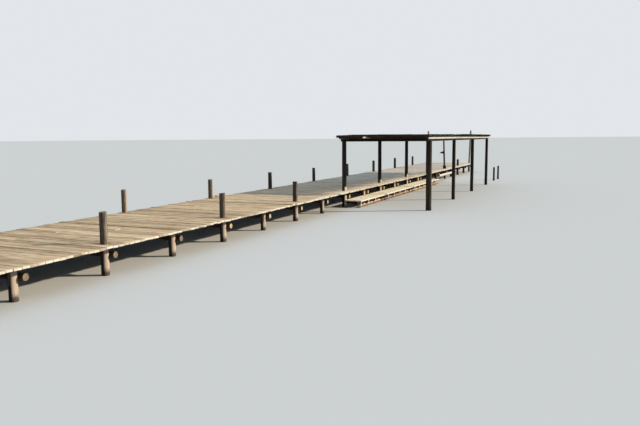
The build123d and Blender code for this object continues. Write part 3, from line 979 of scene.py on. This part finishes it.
@dataclass
class Piles(Part):
    """The standing logs under and beside the deck."""

    taper: float = 0.006
    spare: float = 0.08
    tones: Pair = (0.35, 0.75)
    palest_until: float = 9.0
    roof_shade_from: float = 13.0
    pale_tone: float = 0.85
    roof_shade_dulling: float = 0.25
    lake_from: float = 29.0
    lake_dulled: float = 0.1

    def log_for(self, solid: Shape) -> Log:
        """A round log in the place of a hewn one, sawn at the same plane."""
        foot, radius = foot_of(solid)
        point, normal = saw_plane(solid)
        reach = (point.z + self.spare - foot.z) / max(point.z - foot.z, 0.01)
        top = foot + (point - foot) * reach
        return Log(foot, top, radius, radius - self.taper * (top.z - foot.z), saw=(point, normal))

    def raise_log(self, node: str, piece: Piece, solid: Shape) -> None:
        """Adds a log: the far bollards are palest by the shore and darkened as painted shade in the
        roof's shadow, and all are dark at the lake.
        """
        log = self.log_for(solid)
        along = log.foot.x
        tone = piece.chance.uniform(*self.tones)
        if slot_of(node) == "bollards" and along > self.lake_from:
            tone *= self.lake_dulled
        elif node == "far_bollard_piles":
            # Far bollards from where the roof's shadow starts get a dark tone: painted shade over
            # darker wood
            roof_shaded = tone * self.roof_shade_dulling
            tone = 1.0 if along < self.palest_until else self.pale_tone
            tone = tone if along < self.roof_shade_from else roof_shaded
        piece.add_log(log, tone=tone)

    def build(self) -> None:
        """Makes every row of piles."""
        seeds = {
            "near_bollard_piles": 10, "far_bollard_piles": 11, "near_short_piles": 12,
            "far_short_piles": 13, "landing_piles": 15, "tall_pole": 16, "end_poles": 17,
            "mooring_piles": 18,
        }
        for node, seed in seeds.items():
            self.remake("round", node, seed, partial(self.raise_log, node))


@dataclass
class CapLogs(Part):
    """The logs across each pair of piles, bolted to the piles' lake side."""

    taper: float = 0.9
    ring_spacing: float = 0.22
    sway: float = 0.006
    tones: Pair = (0.3, 0.9)
    dark_until: float = 6.5
    bolt_seat: float = 0.96
    bolt_drop: float = 0.01
    bolt_inset: float = 0.16

    def lay(self, piece: Piece, solid: Shape) -> None:
        """Adds a cap log and its two bolts."""
        past_shore = bounds(solid)[0].x > self.dark_until
        tone = piece.chance.uniform(*self.tones) if past_shore else 0.0
        shape = {"splits": 1, "ring_spacing": self.ring_spacing, "sway": self.sway}
        log = log_across(solid, (1, self.taper), **shape)
        piece.add_log(log, tone=tone)
        for end, inset in ((log.foot, self.bolt_inset), (log.top, -self.bolt_inset)):
            place = end + Vector((log.foot_radius * self.bolt_seat, inset, -self.bolt_drop))
            self.ironwork.bolt(place, Axis.X.unit)

    def build(self) -> None:
        """Makes the three runs of cap logs."""
        nodes = ("approach_cap_logs", "shelter_cap_logs", "end_cap_logs")
        for seed, node in enumerate(nodes, 20):
            self.remake("round", node, seed, self.lay)


@dataclass(frozen=True)
class Notch:
    """A square cut in a board's long side, from start to end along the board."""

    side: int
    start: float
    end: float
    depth: float


def notched_board(low: Vector, high: Vector, along: Axis, notches: list[Notch]) -> Shape:
    """A flat board with cuts in its long sides.

    Args:
        low: its lowest corner.
        high: its highest corner.
        along: the way it lies, X or Y.
        notches: the cuts, with side 1 for the board's higher side and -1 for its lower one.

    Returns:
        The board's closed shape.
    """
    across = Axis.Y if along is Axis.X else Axis.X
    near, far = low[across.value], high[across.value]
    start, end = low[along.value], high[along.value]
    outline = [(near, start)]
    for side, edge in ((1, far), (-1, near)):
        path = []
        for cut in sorted((cut for cut in notches if cut.side == side), key=lambda cut: cut.start):
            inner = edge - side * cut.depth
            path += [(edge, cut.start), (inner, cut.start), (inner, cut.end), (edge, cut.end)]
        outline += [(far, start), *path, (far, end)] if side > 0 else [(near, end), *path[::-1]]
    board = bmesh.new()
    bottom = Axis.Z.unit * low.z
    corners = [
        board.verts.new(across.unit * wide + along.unit * long + bottom) for wide, long in outline
    ]
    raised = bmesh.ops.extrude_face_region(board, geom=[board.faces.new(corners)])["geom"]
    top = [part for part in raised if isinstance(part, bmesh.types.BMVert)]
    bmesh.ops.translate(board, verts=top, vec=(0, 0, high.z - low.z))
    bmesh.ops.recalc_face_normals(board, faces=board.faces)
    return board


@dataclass
class Deck(Part):
    """The cross boards of the deck, cut round the piles and nailed to the stringers."""

    board_width: float = 0.145
    width_spread: float = 0.016
    gap: Pair = (0.004, 0.009)
    wide_share: float = 0.14
    wide_gap: float = 0.016
    clearance: float = 0.01
    lift: float = 0.0016
    raised_share: float = 0.07
    raised_lift: float = 0.007
    unlevel: float = 0.0004
    warped_share: float = 0.3
    warp: Pair = (0.0012, 0.0034)
    rolled: float = 0.012
    slipped_share: float = 0.05
    slip: float = 0.00275
    near_uneven: float = 0.002
    far_uneven: float = 0.012
    skew: float = 0.0012
    butted_share: float = 0.1
    worn_edges: tuple[Triple, ...] = ((5.90, 2.15, 2.83), (6.55, 1.46, 2.39), (2.6, 0.4, 1.3))
    worn_depth: float = 0.02
    least_cut: float = 0.002
    pale_board: float = 7.45
    least_board: float = 0.02
    nail_spread: float = 0.012
    nail_margin: float = 0.02
    row_margin: float = 0.01
    wear: Wear = Wear(edge=0.003, spacing=0.42, waver=0.0022, wavelength=0.7)
    rows: list[float] = field(init=False)

    def holes(self) -> list[Foot]:
        """Where logs stand up through the deck, some leaning, each with half its hole's width."""
        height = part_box("deck_bay_01")[1].z
        found = []
        for solid in solids_of("near_bollard_piles", "far_bollard_piles", "inner_shelter_posts"):
            middle, radius = foot_of(solid)
            found.append((middle, radius + self.clearance))
        for solid in solids_of("tall_pole", "end_poles"):
            foot, radius = foot_of(solid)
            top = saw_plane(solid)[0]
            found.append((foot.lerp(top, height / top.z), radius + self.clearance))
        return found

    def stretches(self, start: float, end: float, chance: random.Random) -> list[Pair]:
        """Shares a length out among whole boards of slightly different widths."""
        count = max(1, round((end - start) / self.board_width))
        widths = [
            self.board_width + chance.uniform(-1, 1) * self.width_spread for _ in range(count)
        ]
        scale = (end - start) / sum(widths)
        edges = [start]
        for width in widths:
            edges.append(edges[-1] + width * scale)
        return list(zip(edges, edges[1:]))

    def notches(self, start: float, end: float, holes: list[Foot]) -> list[Notch]:
        """The cuts that a board from start to end needs."""
        cuts = []
        for middle, half in holes:
            room = middle.y - half, middle.y + half
            if start - half < middle.x <= start + 1e-3:
                cuts.append(Notch(-1, *room, middle.x + half - start))
            elif end - 1e-3 <= middle.x < end + half:
                cuts.append(Notch(1, *room, end - middle.x + half))
        for x, first, last in self.worn_edges:
            if abs(end - x) < (end - start) / 2 and not cuts:
                cuts.append(Notch(1, first, last, self.worn_depth))
        return [cut for cut in cuts if cut.depth > self.least_cut]

    def seat(self, near: Vector, far: Vector, chance: random.Random) -> Matrix:
        """How a board between two corners lies: lifted, slipped, askew, or warped at one end."""
        rise = chance.gauss(0, self.lift)
        if chance.random() < self.raised_share:
            rise += self.raised_lift
        slipped = chance.random() < self.slipped_share
        slip = self.slip * chance.choice((-1, 1)) if slipped else 0.0
        tilt = chance.gauss(0, self.unlevel)
        if chance.random() < self.warped_share:
            tilt = chance.choice((-1, 1)) * chance.uniform(*self.warp)
            rise += abs(tilt) * (far.y - near.y) / 2
        skew = Matrix.Rotation(chance.gauss(0, self.skew), 4, "Z")
        roll = Matrix.Rotation(chance.gauss(0, self.rolled), 4, "Y")
        turn = skew @ Matrix.Rotation(tilt, 4, "X") @ roll
        middle = Matrix.Translation((near + far) / 2)
        return Matrix.Translation((slip, 0, rise)) @ middle @ turn @ middle.inverted()

    def board(self, piece: Piece, start: float, end: float, box: Box, holes: list[Foot]) -> None:
        """Lays one board, or two lengths of one, and nails it down."""
        chance = piece.chance
        low = Vector((start, box[0].y + chance.uniform(0, self.near_uneven), box[0].z))
        high = Vector((end, box[1].y - chance.uniform(0, self.far_uneven), box[1].z))
        cuts = self.notches(start, end, holes)
        pale = start < self.pale_board <= end
        joints = []
        if not cuts and (pale or chance.random() < self.butted_share):
            joints = [self.rows[2] if pale else chance.choice(self.rows[1:3])]
        inner = self.gap[0] / 2 if joints else 0.0
        for first, last in zip([low.y, *joints], [*joints, high.y]):
            near = Vector((low.x, first + inner * (first > low.y), low.z))
            far = Vector((high.x, last - inner * (last < high.y), high.z))
            seat = self.seat(near, far, chance)
            timber = notched_board(near, far, Axis.Y, cuts)
            timber.transform(seat)
            tone = 1.0 if pale and first > low.y else None
            piece.add_squared(timber, Axis.Y, self.wear, tone=tone)
            self.nail_down(near, far, seat, chance)

    def nail_down(self, near: Vector, far: Vector, seat: Matrix, chance: random.Random) -> None:
        """Nails a board to each stringer that it lies on, twice."""
        for row in self.rows:
            if near.y - self.row_margin < row < far.y + self.row_margin:
                for share in NAIL_SHARES:
                    across = row + chance.uniform(-self.nail_spread, self.nail_spread)
                    across = min(max(across, near.y + self.nail_margin), far.y - self.nail_margin)
                    along = near.x + (far.x - near.x) * share
                    place = Vector((along, across, far.z - NAIL_SUNK))
                    self.ironwork.nail(seat @ place, Axis.Z.unit)

    def build(self) -> None:
        """Lays every bay's boards."""
        holes = self.holes()
        lines = sorted({round(middle.x, 3) for middle, _ in holes})
        lumber = solids_of("near_stringers", "inner_stringers", "far_stringers")
        self.rows = sorted({round(middle_of(solid).y, 3) for solid in lumber})
        bays = sorted(node for node in frame["nodes"] if node.startswith("deck_bay"))
        for seed, node in enumerate(bays, 30):
            low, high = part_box(node)
            piece = Piece(node.replace("bay", "boards"), seed)
            margin = self.least_board
            cuts = [line for line in lines if low.x + margin < line < high.x - margin]
            edges = [low.x, *cuts, high.x]
            for start, end in zip(edges, edges[1:]):
                for first, last in self.stretches(start, end, piece.chance):
                    gap = piece.chance.uniform(*self.gap)
                    if piece.chance.random() < self.wide_share:
                        gap = self.wide_gap
                    self.board(piece, first + gap / 2, last - gap / 2, (low, high), holes)
            self.finish(piece, node)


@dataclass
class Stringers(Part):
    """The four lines of stringers under the deck."""

    wear: Wear = Wear(edge=0.005, spacing=0.6, waver=0.004)

    def build(self) -> None:
        """Weathers each line."""
        for seed, node in enumerate(("near_stringers", "inner_stringers", "far_stringers"), 50):
            self.weathered(node, Axis.X, seed, self.wear)


@dataclass
class Shelter(Part):
    """The posts, beams and roof poles over the berth."""

    post_taper: float = 0.002
    post_girth: float = 1.02
    first_girths: Pair = (1.04, 1.12)
    post_splits: int = 3
    post_ring_spacing: float = 0.14
    tones: Pair = (0.7, 1.0)
    post_tones: Pair = (0.8, 0.35)
    bolt_shares: Pair = (0.3, 0.75)
    bolt_below_top: float = 0.02
    bolt_sunk: float = 0.004
    joist_taper: float = 0.94
    joist_columns: int = 12
    wear: Wear = Wear(edge=0.006, spacing=0.35, waver=0.002)
    edge_board_wear: Wear = Wear(edge=0.003, spacing=0.25, waver=0.002)

    def post(self, beam: str, outward: int, piece: Piece, solid: Shape) -> None:
        """Adds a round post with a seat for its beams and a tongue beside them.

        Args:
            beam: the node that lies on the seat.
            outward: 1 if the tongue is on the far side of the beam, else -1.
            piece: the mesh that the post joins; the first to join is stouter and paler.
            solid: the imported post.
        """
        first = not piece.whole.verts
        foot, radius = foot_of(solid)
        radius *= self.first_girths[outward < 0] if first else self.post_girth
        height = bounds(solid)[1].z
        lowest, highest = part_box(beam)
        side = highest.y if outward > 0 else lowest.y
        top = Vector((foot.x, foot.y, height))
        log = Log(
            foot, top, radius, radius - self.post_taper * height, splits=self.post_splits,
            ring_spacing=self.post_ring_spacing,
        )
        whole = log.build(piece.chance)
        seat = Vector((foot.x, side, lowest.z))
        trunk = whole.copy()
        saw_off(trunk, seat, Axis.Z.unit)
        saw_off(whole, seat, -Axis.Z.unit)
        saw_off(whole, seat, -outward * Axis.Y.unit)
        tone = piece.chance.uniform(*self.tones) * self.post_tones[0 if first else 1]
        for part in (trunk, whole):
            piece.add(part, log.placement().inverted(), shift=0.0, tone=tone)
        face = foot.y + outward * (radius - self.post_taper * lowest.z)
        for share in self.bolt_shares:
            level = lowest.z + (highest.z - lowest.z) * share
            if level < height - self.bolt_below_top:
                place = Vector((foot.x, face - outward * self.bolt_sunk, level))
                self.ironwork.bolt(place, outward * Axis.Y.unit)

    def joist(self, piece: Piece, solid: Shape) -> None:
        """Adds a thin round pole across the beams, with its thick end on either side."""
        tapers = [1.0, 1.0]
        tapers[piece.chance.random() < 0.5] = self.joist_taper
        shape = {"columns": self.joist_columns, "splits": 0, "rim": 0.003, "sway": 0.003}
        piece.add_log(log_across(solid, tapers, **shape))

    def nail_edge_boards(self) -> None:
        """Nails the edge boards to the ends of the roof poles."""
        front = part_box("roof_edge_boards")[0].y
        for solid in solids_of("roof_joists"):
            middle = middle_of(solid)
            place = Vector((middle.x, front + NAIL_SUNK, middle.z))
            self.ironwork.nail(place, -Axis.Y.unit)

    def build(self) -> None:
        """Makes the posts, beams, knees and roof poles."""
        for seed, row, outward in ((60, "inner", 1), (61, "outer", -1)):
            post = partial(self.post, f"{row}_roof_beam", outward)
            self.remake("round", f"{row}_shelter_posts", seed, post)
        for seed, node in enumerate(("inner_roof_beam", "outer_roof_beam", "post_knees"), 62):
            self.weathered(node, Axis.X, seed, self.wear)
        self.weathered("roof_cross_beams", Axis.Y, 65, self.wear)
        self.remake("round", "roof_joists", 66, self.joist)
        self.weathered("roof_edge_boards", Axis.X, 67, self.edge_board_wear)
        self.nail_edge_boards()


@dataclass
class ReedRoof(Part):
    """The reed covering: a dense bed with loose stems over and under it, ragged at the sides."""

    bed_inset: float = 0.13
    bed_end: float = 0.03
    bed_skin: float = 0.012
    bed_foot: float = 0.003
    bed_tone: float = 0.15
    bed_wear: Wear = Wear(edge=0.006, spacing=0.3, waver=0.003)
    stem_count: int = 6000
    under_share: float = 0.28
    edge_share: float = 0.34
    edge_drop: float = 0.004
    end_share: float = 0.07
    end_reach: float = 0.07
    end_fan: float = 0.3
    under_depths: Pair = (-0.6, 0.3)
    over_depths: Pair = (-0.3, 1.0)
    loose_share: float = 0.1
    loose_rise: float = 0.022
    raggedness: float = 0.035
    lengths: Pair = (0.7, 1.7)
    radii: Pair = (0.0035, 0.008)
    fan: float = 0.075
    sag: float = 0.004
    batch: int = 200
    lath_box: tuple[Triple, Triple] = ((19.8, -2.93, -0.02), (20.95, -2.87, 0.01))
    lath_wear: Wear = Wear(edge=0.002, spacing=0.2, waver=0.006)
    scrap_half: Triple = (0.17, 0.01, 0.025)
    scrap_place: Triple = (0.02, -1.0, -0.004)
    scrap_turn: float = -28.0
    scrap_wear: Wear = Wear(edge=0.002, spacing=0.05, waver=0.002)

    def build(self) -> None:
        """Makes the bed and its stems as one piece, and then the laths."""
        piece = Piece("reed_covering", 80)
        low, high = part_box("roof_covering")
        lowest = low + Vector((self.bed_end, self.bed_inset, self.bed_foot))
        highest = high - Vector((self.bed_end, self.bed_inset, self.bed_skin))
        piece.add_squared(box_shape(lowest, highest), Axis.Y, self.bed_wear, self.bed_tone)
        for _ in range(0, self.stem_count, self.batch):
            piece.merge(self.bundle(low, high, piece.chance))
        self.finish(piece, "roof_covering")
        self.laths(low, high)

    def bundle(self, low: Vector, high: Vector, chance: random.Random) -> Shape:
        """A batch of stems, laid across the roof."""
        bundle = bmesh.new()
        grain = bundle.verts.layers.float_vector.new("grain")
        shade = bundle.verts.layers.float.new("tone")
        for _ in range(self.batch):
            radius, length, seat = self.lie(low, high, chance)
            made = bmesh.ops.create_cone(
                bundle, cap_ends=True, segments=4, radius1=radius, radius2=radius * 0.5,
                depth=length, matrix=seat,
            )
            offset = Vector([chance.uniform(-9, 9) for _ in range(3)])
            tone = chance.random()
            for vert in made["verts"]:
                vert[grain] = Axis.Y.to_grain @ vert.co + offset
                vert[shade] = tone
        for face in bundle.faces:
            face.smooth = True
        return bundle

    def lie(self, low: Vector, high: Vector, chance: random.Random) -> tuple[float, float, Matrix]:
        """One stem's radius, length and place: over the bed, under it, or at the roof's edges."""
        length = chance.uniform(*self.lengths)
        radius = chance.uniform(*self.radii)
        lean = chance.gauss(0, self.fan)
        kind = chance.random()
        reach = length / 2
        y = chance.uniform(low.y + reach, high.y - reach)
        if kind < self.edge_share:
            inset = reach + abs(chance.gauss(0, self.raggedness))
            y = low.y + inset if chance.random() < 0.5 else high.y - inset
        x = chance.uniform(low.x + radius, high.x - radius)
        at_end = chance.random() < self.end_share
        if at_end:
            lean *= self.end_fan
            first = low.x + chance.random() * self.end_reach
            x = chance.choice((first, high.x - chance.random() * self.end_reach))
        swing = radius + abs(math.sin(lean) * reach)
        x = min(max(x, low.x + swing), high.x - swing)
        if at_end or kind < self.edge_share:
            z = chance.uniform(low.z - self.edge_drop, high.z - radius)
        elif kind < self.edge_share + self.under_share:
            z = low.z + self.bed_foot + chance.uniform(*self.under_depths) * radius
        else:
            z = high.z - self.bed_skin + chance.uniform(*self.over_depths) * radius
            if chance.random() < self.loose_share:
                z += chance.uniform(0.0, self.loose_rise)
        level = Matrix.Rotation(math.pi / 2 + chance.gauss(0, self.sag), 4, "X")
        turn = Matrix.Rotation(lean, 4, "Z") @ level
        return radius, length, Matrix.Translation((x, y, z)) @ turn

    def laths(self, low: Vector, high: Vector) -> None:
        """Adds a pale lath on the reeds and a scrap of board caught in their shore end."""
        piece = Piece("roof_laths", 81)
        top = Axis.Z.unit * high.z
        lath = box_shape(*(Vector(corner) + top for corner in self.lath_box))
        piece.add_squared(lath, Axis.X, self.lath_wear)
        piece.finish(self.finishes.woods["edge_boards"], "edge_boards")
        piece = Piece("roof_scrap", 82)
        half = Vector(self.scrap_half)
        scrap = box_shape(-half, half)
        place = Vector(self.scrap_place) + Vector((low.x, 0, low.z))
        turn = Matrix.Rotation(math.radians(self.scrap_turn), 4, "Z")
        scrap.transform(Matrix.Translation(place) @ turn)
        piece.add_squared(scrap, Axis.Y, self.scrap_wear, tone=1.0)
        piece.finish(self.finishes.woods["fender"], "fender")


@dataclass
class Landing(Part):
    """The low landing stage: planks on bearers, with a waney skirt and battens along its front."""

    plank_count: int = 4
    gap: float = 0.007
    clearance: float = 0.01
    least_cut: float = 0.002
    least_length: float = 0.01
    least_plank: float = 0.02
    nails_end: float = -0.15
    batten_nails: Triple = (0.25, 0.6, 0.92)
    wane: float = 0.08
    wane_shares: Pair = (0.25, 0.75)
    wane_sharpness: float = 0.5
    wane_roughness: Pair = (0.7, 0.6)
    wane_bend: float = 0.16
    wane_length: float = 0.39
    wane_spacing: float = 0.035
    wane_edge: float = 0.02
    skirt_edge: float = 0.004
    wear: Wear = Wear(edge=0.004, spacing=0.3, waver=0.003)
    batten_wear: Wear = Wear(edge=0.003, spacing=0.05, waver=0.003, wavelength=0.12)

    def planks(self) -> None:
        """Lays and nails the planks of each length, cut round the piles at their inner side."""
        piece = Piece("landing_planks", 90)
        piles = [foot_of(solid) for solid in solids_of("inner_shelter_posts", "near_short_piles")]
        bearers = [middle_of(solid).x for solid in solids_of("landing_bearers")]
        for solid in solids_of("landing_deck"):
            low, high = bounds(solid)
            width = (high.y - low.y) / self.plank_count
            for number in range(self.plank_count):
                near = low.y + number * width + self.gap / 2
                far = low.y + (number + 1) * width - self.gap / 2
                cuts = []
                for middle, radius in piles:
                    half = radius + self.clearance
                    first, last = max(middle.x - half, low.x), min(middle.x + half, high.x)
                    depth = far - (middle.y - half)
                    fits = self.least_cut < depth < width - self.least_plank
                    if fits and last - first > self.least_length:
                        cuts.append(Notch(1, first, last, depth))
                corners = Vector((low.x, near, low.z)), Vector((high.x, far, high.z))
                piece.add_squared(notched_board(*corners, Axis.X, cuts), Axis.X, self.wear)
                for x in (x for x in bearers if low.x < x < high.x):
                    for share in NAIL_SHARES:
                        place = Vector((x, near + (far - near) * share, high.z - NAIL_SUNK))
                        if place.y < self.nails_end:
                            self.ironwork.nail(place, Axis.Z.unit)
        self.finish(piece, "landing_deck")

    def skirt(self, batten: float, piece: Piece, solid: Shape) -> None:
        """Adds a skirt board, whose upper edge keeps the log's outline in waves from a batten."""
        high = bounds(solid)[1].z
        bevel(solid, edges_over(solid, ROUNDED_OVER), self.skirt_edge)
        add_stations(solid, Axis.X, self.wane_spacing)
        for vert in solid.verts:
            if vert.co.z > high - self.wane_edge:
                along = (vert.co.x - batten) / self.wane_length
                along += self.wane_bend * noise.noise(vert.co * 1.3)
                wave = abs(math.sin(math.pi * along)) ** self.wane_sharpness
                least, more = self.wane_shares
                drop = self.wane * (least + more * wave)
                least, more = self.wane_roughness
                vert.co.z -= drop * (least + more * abs(noise.noise(vert.co * 2.9)))
        piece.add(solid, Axis.X.to_grain)

    def build(self) -> None:
        """Makes all of the landing."""
        self.planks()
        batten = middle_of(solids_of("landing_battens")[0]).x
        self.remake("waney", "landing_skirt", 94, partial(self.skirt, batten))
        self.weathered("landing_rail", Axis.X, 91)
        self.weathered("landing_bearers", Axis.Y, 92)
        self.weathered("landing_battens", Axis.Z, 93, self.batten_wear)
        for solid in solids_of("landing_battens"):
            low, high = bounds(solid)
            for share in self.batten_nails:
                level = low.z + (high.z - low.z) * share
                place = Vector(((low.x + high.x) / 2, low.y + NAIL_SUNK, level))
                self.ironwork.nail(place, -Axis.Y.unit)


@dataclass
class LakeEnd(Part):
    """The fittings at the lake end: the pole's arm and collar, the fender and two timbers."""

    bolt_sunk: float = 0.002

    def build(self) -> None:
        """Makes the fittings, and bolts the fender to the cap logs."""
        self.weathered("pole_bracket", Axis.Y, 95, Wear(edge=0.003, spacing=0.05, waver=0.002))
        self.weathered("pole_foot_block", Axis.Z, 96, Wear(edge=0.006, spacing=0.06, waver=0.004))
        self.weathered("fender_plank", Axis.X, 97, Wear(edge=0.006))
        self.weathered("edge_timbers", Axis.X, 98, Wear(edge=0.006, spacing=0.04, waver=0.004))
        low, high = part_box("fender_plank")
        for solid in solids_of("end_cap_logs"):
            x = middle_of(solid).x
            if low.x < x < high.x:
                place = Vector((x, low.y + self.bolt_sunk, (low.z + high.z) / 2))
                self.ironwork.bolt(place, -Axis.Y.unit)


# Light, floor and camera

@dataclass
class Studio:
    """A pale floor and backdrop, daylight with a low sun, and the camera."""

    floor_size: float = 1600.0
    floor_colour: Triple = display("d6d6d4")
    bounce_colour: Triple = display("787878")
    sky_colour: Triple = display("e2e6ea")
    sky_light: Triple = (0.61, 0.79, 1.0)
    sky_strength: float = 0.62
    sun_colour: Triple = (1.0, 0.87, 0.67)
    sun_strength: float = 3.95
    sun_spread: float = 2.0
    sun_distance: float = 30.0
    towards_sun: Triple = (0.40, -0.82, 0.42)
    camera_place: Triple = (-4.614, -8.026, 2.449)
    heading: float = 23.92
    dip: float = 6.96
    roll: float = -0.48
    focal_length: float = 34.99
    sensor_width: float = 36.0

    def floor(self) -> None:
        """Lays the plain floor, pale to the camera and darker in what it reflects upwards."""
        shape = bmesh.new()
        bmesh.ops.create_grid(shape, x_segments=1, y_segments=1, size=self.floor_size / 2)
        mesh = mesh_of("floor", shape)
        graph = Graph(bpy.data.materials.new("floor_paint"))
        colour = graph.mix(graph.seen(), self.bounce_colour, self.floor_colour)
        mesh.materials.append(graph.surface(colour, 1.0, 0.0))
        linked("floor", mesh)

    def sky(self) -> None:
        """Lights the object evenly from all round and shows the camera a plain backdrop."""
        world = bpy.data.worlds.new("sky")
        bpy.context.scene.world = world
        graph = Graph(world)
        lamp = graph.tree.nodes["Background"]
        graph.feed(lamp, {"Color": (*self.sky_light, 1.0), "Strength": self.sky_strength})
        backdrop = graph.add("Background", 0, {"Color": (*self.sky_colour, 1.0)})
        light = Value(graph, lamp.outputs[0])
        choice = graph.add("MixShader", 0, {0: graph.seen(), 1: light, 2: backdrop})
        graph.feed(graph.tree.nodes["World Output"], {"Surface": choice})

    def sun(self) -> None:
        """Hangs the one lamp, low on the side of the shelter."""
        lamp = bpy.data.lights.new("sun", "SUN")
        lamp.energy = self.sun_strength
        lamp.color = self.sun_colour
        lamp.angle = math.radians(self.sun_spread)
        sun = linked("sun", lamp)
        towards = Vector(self.towards_sun)
        sun.rotation_euler = towards.to_track_quat("Z", "Y").to_euler()
        sun.location = towards * self.sun_distance

    def camera(self) -> None:
        """Places the camera beside the shore end, at a standing person's view from a bank."""
        lens = bpy.data.cameras.new("camera")
        lens.lens = self.focal_length
        lens.sensor_width = self.sensor_width
        lens.clip_end = self.floor_size
        camera = linked("camera", lens)
        view = Matrix.Translation(self.camera_place)
        for angle, axis in ((self.heading - 90, "Z"), (90 - self.dip, "X"), (self.roll, "Z")):
            view = view @ Matrix.Rotation(math.radians(angle), 4, axis)
        camera.matrix_world = view
        bpy.context.scene.camera = camera

    def build(self) -> None:
        """Sets up everything round the object."""
        self.floor()
        self.sky()
        self.sun()
        self.camera()
        bpy.context.scene.view_settings.view_transform = "Standard"


def main() -> None:
    """Builds the jetty's looks round its frame, with its light and camera."""
    logging.basicConfig(level=logging.INFO, format="%(message)s")
    noise.seed_set(NOISE_SEED)
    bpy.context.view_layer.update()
    finishes = Finishes()
    ironwork = Ironwork()
    for part in (Piles, CapLogs, Stringers, Deck, Shelter, ReedRoof, Landing, LakeEnd):
        part(finishes, ironwork).build()
    for piece in (ironwork.nails, ironwork.bolts):
        piece.finish([finishes.iron])
    Studio().build()


if __name__ == "__main__":
    main()
